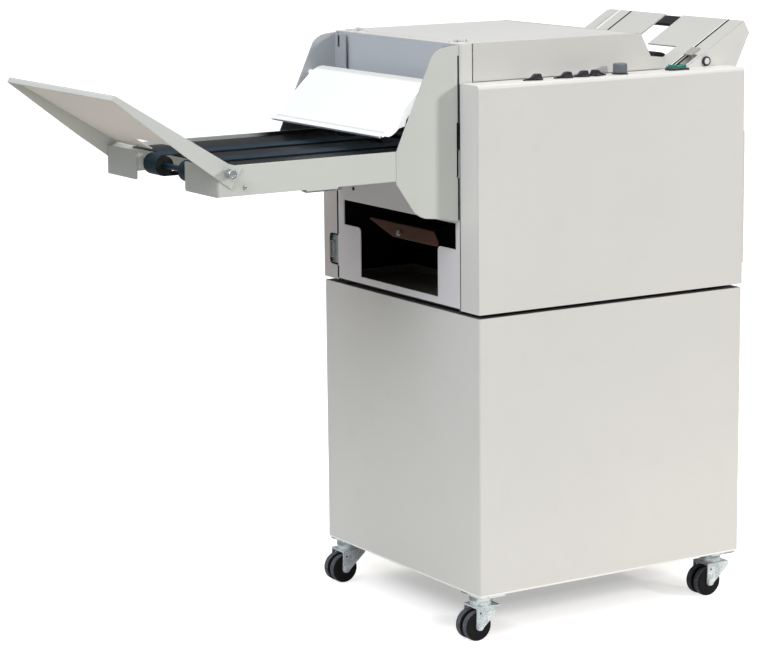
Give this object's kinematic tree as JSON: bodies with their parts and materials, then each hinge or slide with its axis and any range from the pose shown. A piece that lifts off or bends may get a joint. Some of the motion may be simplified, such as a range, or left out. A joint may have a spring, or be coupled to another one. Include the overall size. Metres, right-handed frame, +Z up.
{
  "type": "booklet maker",
  "caption": "Floor-standing booklet maker on a wheeled cabinet, with a sloped sheet infeed, hinged lid, control knobs and a belt delivery tray with a tilting end flap.",
  "frame": {"origin": "on the floor, under the middle of the cabinet", "axes": "+Z up, +X towards the sheet infeed, -X towards the delivery tray, -Y towards the front cover with the controls"},
  "size_m": [1.2781, 0.5188, 1.05],
  "materials": {
    "cream_paint": "satin",
    "grey_paint": "satin",
    "zinc_steel": "satin",
    "black_plastic": "matte",
    "black_rubber": "matte",
    "black_paint": "matte",
    "teal_belt": "matte",
    "white_plastic": "gloss",
    "brown_paint": "satin",
    "grey_plastic": "matte",
    "green_plastic": "gloss",
    "beige_plastic": "matte"
  },
  "bodies": {
    "machine": {"cabinet_body": "cream_paint", "cabinet_panels": "cream_paint", "front_cover": "cream_paint", "rear_cover": "cream_paint", "infeed_front": "cream_paint", "infeed_rear": "cream_paint", "table_plates": "cream_paint", "service_plate": "cream_paint", "hood_front": "grey_paint", "hood_rear": "grey_paint", "tray_pan": "grey_paint", "end_panel": "grey_paint", "right_panel": "grey_paint", "hood_bridge": "grey_paint", "caster_mounts": "zinc_steel", "front_frame": "zinc_steel", "rear_frame": "zinc_steel", "base_plate": "zinc_steel", "lid_pins": "zinc_steel", "stitch_bar": "zinc_steel", "data_connector": "zinc_steel", "paper_deck": "zinc_steel", "infeed_deck": "zinc_steel", "rocker_frame": "black_plastic", "power_inlet": "black_plastic", "machine_feet": "black_rubber", "bin_liner": "black_paint", "tray_bed": "black_paint", "infeed_bridge": "black_paint", "tray_belts": "teal_belt", "chute_plate": "brown_paint"},
    "swivel_fl": {"fork_fl": "zinc_steel"},
    "swivel_fr": {"fork_fr": "zinc_steel"},
    "swivel_rl": {"fork_rl": "zinc_steel"},
    "swivel_rr": {"fork_rr": "zinc_steel"},
    "caster_fl": {"wheels_fl": "black_rubber"},
    "caster_fr": {"wheels_fr": "black_rubber"},
    "caster_rl": {"wheels_rl": "black_rubber"},
    "caster_rr": {"wheels_rr": "black_rubber"},
    "lid_body": {"lid": "cream_paint"},
    "guard_body": {"exit_guard": "white_plastic"},
    "upper_exit": {"exit_roller_upper": "black_rubber"},
    "lower_exit": {"exit_roller_lower": "black_rubber"},
    "chute_screw": {"chute_knob": "zinc_steel"},
    "tray_end_roller": {"end_roller": "black_rubber"},
    "tray_drive_roller": {"drive_roller": "black_rubber"},
    "flap_body": {"end_flap": "grey_paint"},
    "front_thumbscrew": {"thumbscrew_front": "zinc_steel"},
    "rear_thumbscrew": {"thumbscrew_rear": "zinc_steel"},
    "feed_body": {"feed_roller": "black_rubber"},
    "guide_body": {"guide_tab": "beige_plastic"},
    "lock_body": {"lock_knob": "black_plastic"},
    "front_stitcher": {"stitch_head_front": "black_plastic"},
    "rear_stitcher": {"stitch_head_rear": "black_plastic"},
    "dial_1": {"knob_1": "black_plastic"},
    "dial_2": {"knob_2": "black_plastic"},
    "dial_3": {"knob_3": "black_plastic"},
    "dial_4": {"knob_4": "black_plastic"},
    "cap_dial": {"cap_knob": "grey_plastic"},
    "rocker_body": {"rocker": "green_plastic"}
  },
  "joints": [
    {"name": "swivel_fl_turn", "type": "hinge", "parent": "machine", "child": "swivel_fl", "pos_m": [-0.255, -0.212, 0.07], "axis": [0, 0, 1], "continuous": true},
    {"name": "caster_fl_roll", "type": "hinge", "parent": "swivel_fl", "child": "caster_fl", "pos_m": [-0.2705, -0.212, 0.027], "axis": [0, 1, 0], "continuous": true},
    {"name": "swivel_fr_turn", "type": "hinge", "parent": "machine", "child": "swivel_fr", "pos_m": [0.255, -0.212, 0.07], "axis": [0, 0, 1], "continuous": true},
    {"name": "caster_fr_roll", "type": "hinge", "parent": "swivel_fr", "child": "caster_fr", "pos_m": [0.2395, -0.212, 0.027], "axis": [0, 1, 0], "continuous": true},
    {"name": "swivel_rl_turn", "type": "hinge", "parent": "machine", "child": "swivel_rl", "pos_m": [-0.255, 0.238, 0.07], "axis": [0, 0, 1], "continuous": true},
    {"name": "caster_rl_roll", "type": "hinge", "parent": "swivel_rl", "child": "caster_rl", "pos_m": [-0.2705, 0.238, 0.027], "axis": [0, 1, 0], "continuous": true},
    {"name": "swivel_rr_turn", "type": "hinge", "parent": "machine", "child": "swivel_rr", "pos_m": [0.255, 0.238, 0.07], "axis": [0, 0, 1], "continuous": true},
    {"name": "caster_rr_roll", "type": "hinge", "parent": "swivel_rr", "child": "caster_rr", "pos_m": [0.2395, 0.238, 0.027], "axis": [0, 1, 0], "continuous": true},
    {"name": "lid_open", "type": "hinge", "parent": "machine", "child": "lid_body", "pos_m": [-0.25715, 0, 1.0423], "axis": [0, -1, 0], "range_deg": [0, 85]},
    {"name": "guard_lift", "type": "hinge", "parent": "machine", "child": "guard_body", "pos_m": [-0.3452, 0, 0.9682], "axis": [0, 1, 0], "range_deg": [0, 70]},
    {"name": "exit_upper_turn", "type": "hinge", "parent": "machine", "child": "upper_exit", "pos_m": [-0.263, 0, 0.878], "axis": [0, 1, 0], "continuous": true},
    {"name": "exit_lower_turn", "type": "hinge", "parent": "machine", "child": "lower_exit", "pos_m": [-0.263, 0, 0.847], "axis": [0, 1, 0], "continuous": true},
    {"name": "end_roller_turn", "type": "hinge", "parent": "machine", "child": "tray_end_roller", "pos_m": [-0.728, 0, 0.844], "axis": [0, 1, 0], "continuous": true},
    {"name": "drive_roller_turn", "type": "hinge", "parent": "machine", "child": "tray_drive_roller", "pos_m": [-0.312, 0, 0.844], "axis": [0, 1, 0], "continuous": true},
    {"name": "flap_tilt", "type": "hinge", "parent": "machine", "child": "flap_body", "pos_m": [-0.735, 0, 0.855], "axis": [0, 1, 0], "range_deg": [-31, 15]},
    {"name": "front_thumbscrew_turn", "type": "hinge", "parent": "machine", "child": "front_thumbscrew", "pos_m": [-0.735, -0.21, 0.855], "axis": [0, 1, 0], "continuous": true},
    {"name": "rear_thumbscrew_turn", "type": "hinge", "parent": "machine", "child": "rear_thumbscrew", "pos_m": [-0.735, 0.21, 0.855], "axis": [0, 1, 0], "continuous": true},
    {"name": "feed_roller_turn", "type": "hinge", "parent": "machine", "child": "feed_body", "pos_m": [0.212, 0, 0.97144], "axis": [0, 1, 0], "continuous": true},
    {"name": "lock_turn", "type": "hinge", "parent": "machine", "child": "lock_body", "pos_m": [0.243, -0.201, 0.9822], "axis": [0, 1, 0], "range_deg": [-90, 90]},
    {"name": "chute_knob_turn", "type": "hinge", "parent": "machine", "child": "chute_screw", "pos_m": [-0.27114, 0.014, 0.68893], "axis": [-0.8572, 0, 0.515], "continuous": true},
    {"name": "dial_1_turn", "type": "hinge", "parent": "machine", "child": "dial_1", "pos_m": [-0.1445, -0.226, 0.973], "axis": [0, 0, 1], "range_deg": [-60, 60]},
    {"name": "dial_2_turn", "type": "hinge", "parent": "machine", "child": "dial_2", "pos_m": [-0.0808, -0.226, 0.973], "axis": [0, 0, 1], "range_deg": [-60, 60]},
    {"name": "dial_3_turn", "type": "hinge", "parent": "machine", "child": "dial_3", "pos_m": [-0.0456, -0.226, 0.973], "axis": [0, 0, 1], "range_deg": [-60, 60]},
    {"name": "dial_4_turn", "type": "hinge", "parent": "machine", "child": "dial_4", "pos_m": [-0.0217, -0.226, 0.973], "axis": [0, 0, 1], "range_deg": [-60, 60]},
    {"name": "cap_dial_turn", "type": "hinge", "parent": "machine", "child": "cap_dial", "pos_m": [0.0316, -0.226, 0.973], "axis": [0, 0, 1], "range_deg": [-140, 140]},
    {"name": "rocker_tilt", "type": "hinge", "parent": "machine", "child": "rocker_body", "pos_m": [0.157, -0.226, 0.969], "axis": [0, 1, 0], "range_deg": [-8, 8]},
    {"name": "guide_slide", "type": "slide", "parent": "machine", "child": "guide_body", "axis": [0, 1, 0], "range_m": [0, 0.01]},
    {"name": "front_stitcher_slide", "type": "slide", "parent": "machine", "child": "front_stitcher", "axis": [0, 1, 0], "range_m": [-0.04, 0.04]},
    {"name": "rear_stitcher_slide", "type": "slide", "parent": "machine", "child": "rear_stitcher", "axis": [0, 1, 0], "range_m": [-0.04, 0.04]}
  ],
  "couplings": [
    {"joint": "exit_lower_turn", "follows": "exit_upper_turn", "ratio": -1},
    {"joint": "drive_roller_turn", "follows": "end_roller_turn", "ratio": 1}
  ]
}
